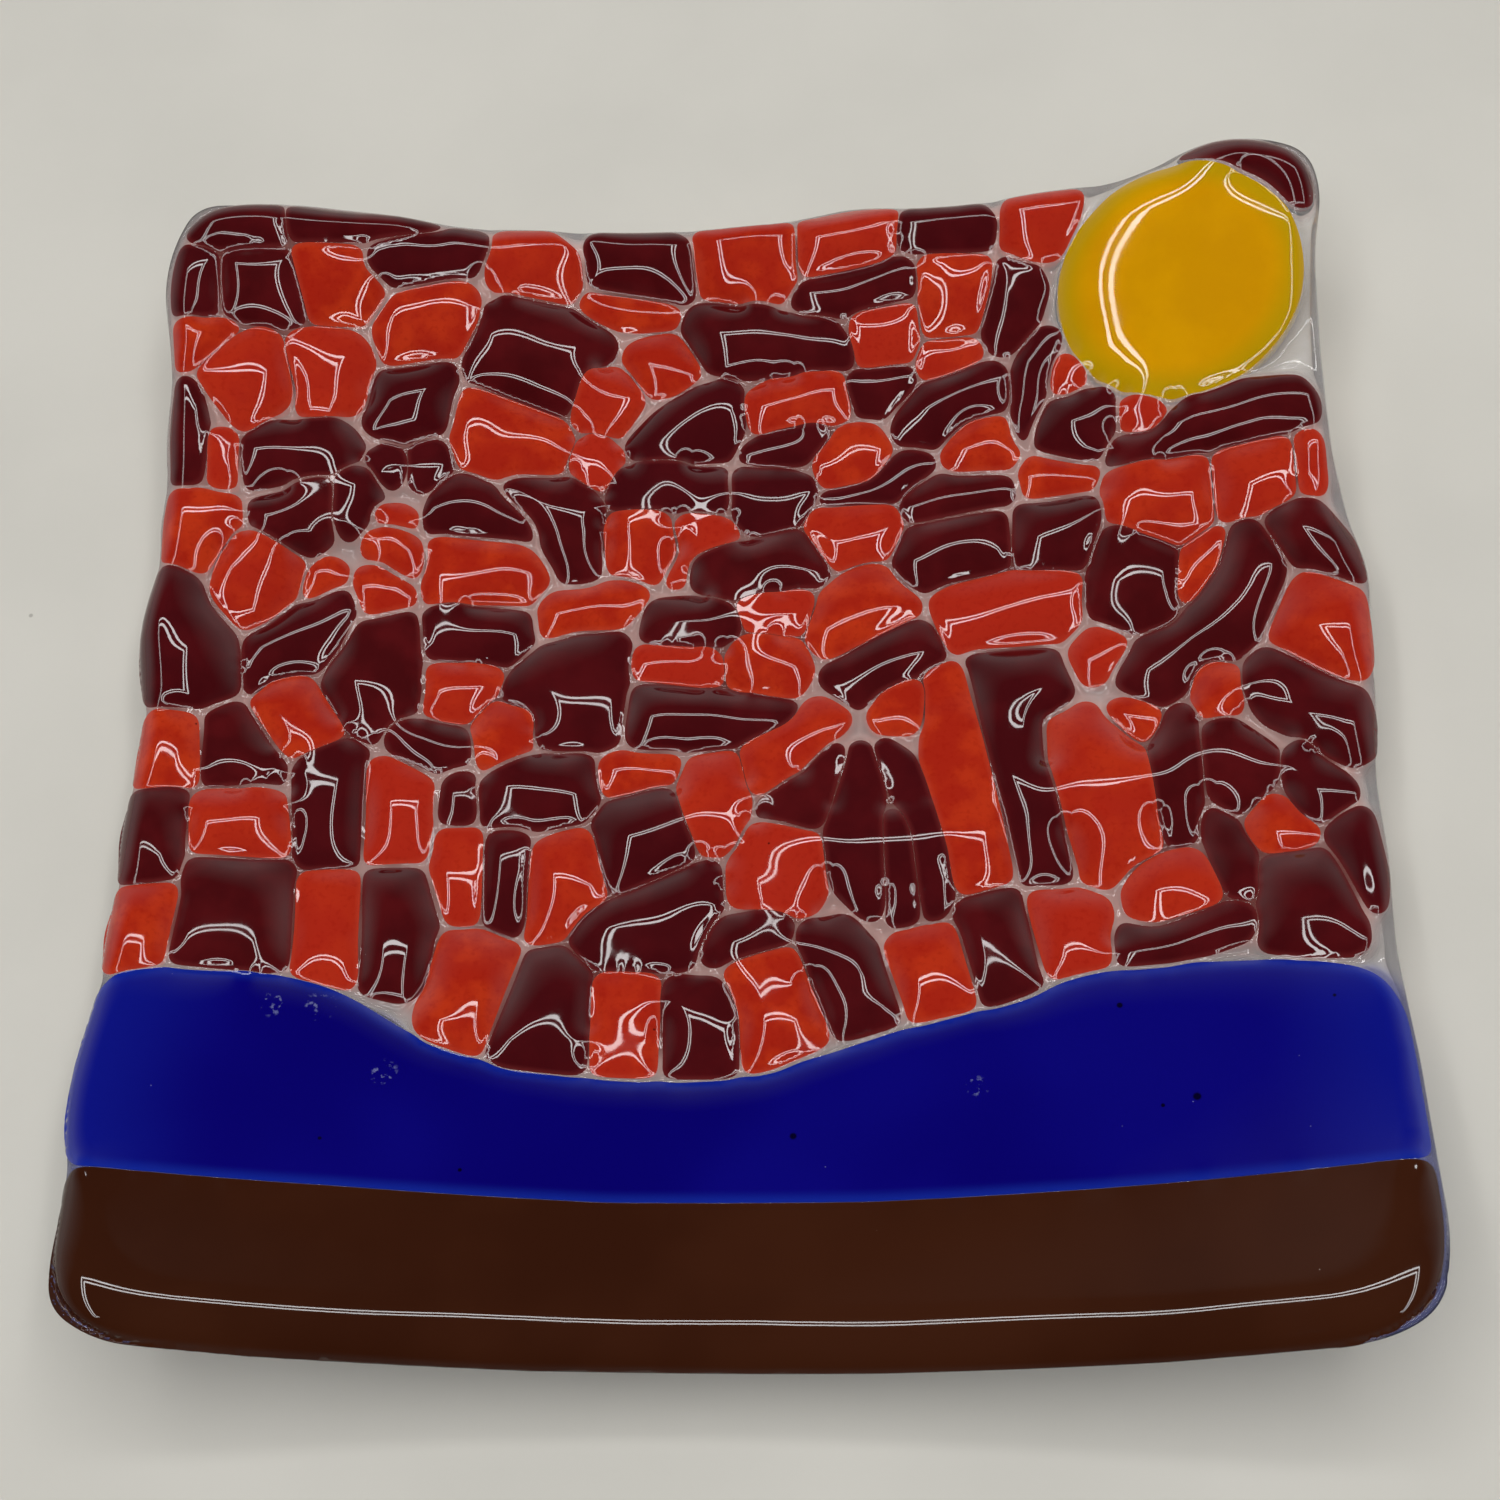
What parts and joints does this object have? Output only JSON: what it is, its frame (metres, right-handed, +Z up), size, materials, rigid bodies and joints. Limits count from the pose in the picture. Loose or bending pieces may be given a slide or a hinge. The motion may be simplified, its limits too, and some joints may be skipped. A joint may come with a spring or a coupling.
{
  "type": "fused glass dish",
  "caption": "Shallow square slumped dish of fused art glass: a mosaic of red and maroon chips, a yellow disc, a wavy blue panel and a brown strip on a clear base.",
  "frame": {"origin": "centre of the flat round foot's underside, which is the surface the dish stands on", "axes": "+Z up out of the dish, +X to the right, +Y to the back; the brown strip is at the front (-Y) and the yellow disc in the back right corner"},
  "size_m": [0.2039, 0.2071, 0.0311],
  "materials": {
    "clear_glass": "fire-polished clear base glass",
    "brown_glass": "dark brown opaque art glass, full-fused, high gloss",
    "blue_glass": "deep cobalt art glass, full-fused, high gloss",
    "yellow_glass": "opaque golden yellow art glass, high gloss",
    "red_glass": "opalescent orange-red art glass, contour-fused, high gloss",
    "maroon_glass": "deep maroon art glass, contour-fused, high gloss"
  },
  "bodies": {
    "root": {"blue_wave_panel": "blue_glass", "brown_ground_strip": "brown_glass", "clear_base_sheet": "clear_glass", "maroon_chips_band1_column1": "maroon_glass", "maroon_chips_band1_column2": "maroon_glass", "maroon_chips_band1_column3": "maroon_glass", "maroon_chips_band1_column4": "maroon_glass", "maroon_chips_band2_column1": "maroon_glass", "maroon_chips_band2_column2": "maroon_glass", "maroon_chips_band2_column3": "maroon_glass", "maroon_chips_band2_column4": "maroon_glass", "maroon_chips_band3_column1": "maroon_glass", "maroon_chips_band3_column2": "maroon_glass", "maroon_chips_band3_column3": "maroon_glass", "maroon_chips_band3_column4": "maroon_glass", "maroon_chips_band4_column1": "maroon_glass", "maroon_chips_band4_column2": "maroon_glass", "maroon_chips_band4_column3": "maroon_glass", "maroon_chips_band4_column4": "maroon_glass", "maroon_chips_band5_column1": "maroon_glass", "maroon_chips_band5_column2": "maroon_glass", "maroon_chips_band5_column3": "maroon_glass", "maroon_chips_band5_column4": "maroon_glass", "maroon_chips_band6_column1": "maroon_glass", "maroon_chips_band6_column2": "maroon_glass", "maroon_chips_band6_column3": "maroon_glass", "maroon_chips_band6_column4": "maroon_glass", "red_chips_band1_column1": "red_glass", "red_chips_band1_column2": "red_glass", "red_chips_band1_column3": "red_glass", "red_chips_band2_column1": "red_glass", "red_chips_band2_column2": "red_glass", "red_chips_band2_column3": "red_glass", "red_chips_band2_column4": "red_glass", "red_chips_band3_column1": "red_glass", "red_chips_band3_column2": "red_glass", "red_chips_band3_column3": "red_glass", "red_chips_band3_column4": "red_glass", "red_chips_band4_column1": "red_glass", "red_chips_band4_column2": "red_glass", "red_chips_band4_column3": "red_glass", "red_chips_band4_column4": "red_glass", "red_chips_band5_column1": "red_glass", "red_chips_band5_column2": "red_glass", "red_chips_band5_column3": "red_glass", "red_chips_band5_column4": "red_glass", "red_chips_band6_column1": "red_glass", "red_chips_band6_column2": "red_glass", "red_chips_band6_column3": "red_glass", "red_chips_band6_column4": "red_glass", "yellow_sun_disc": "yellow_glass"}
  },
  "joints": []
}
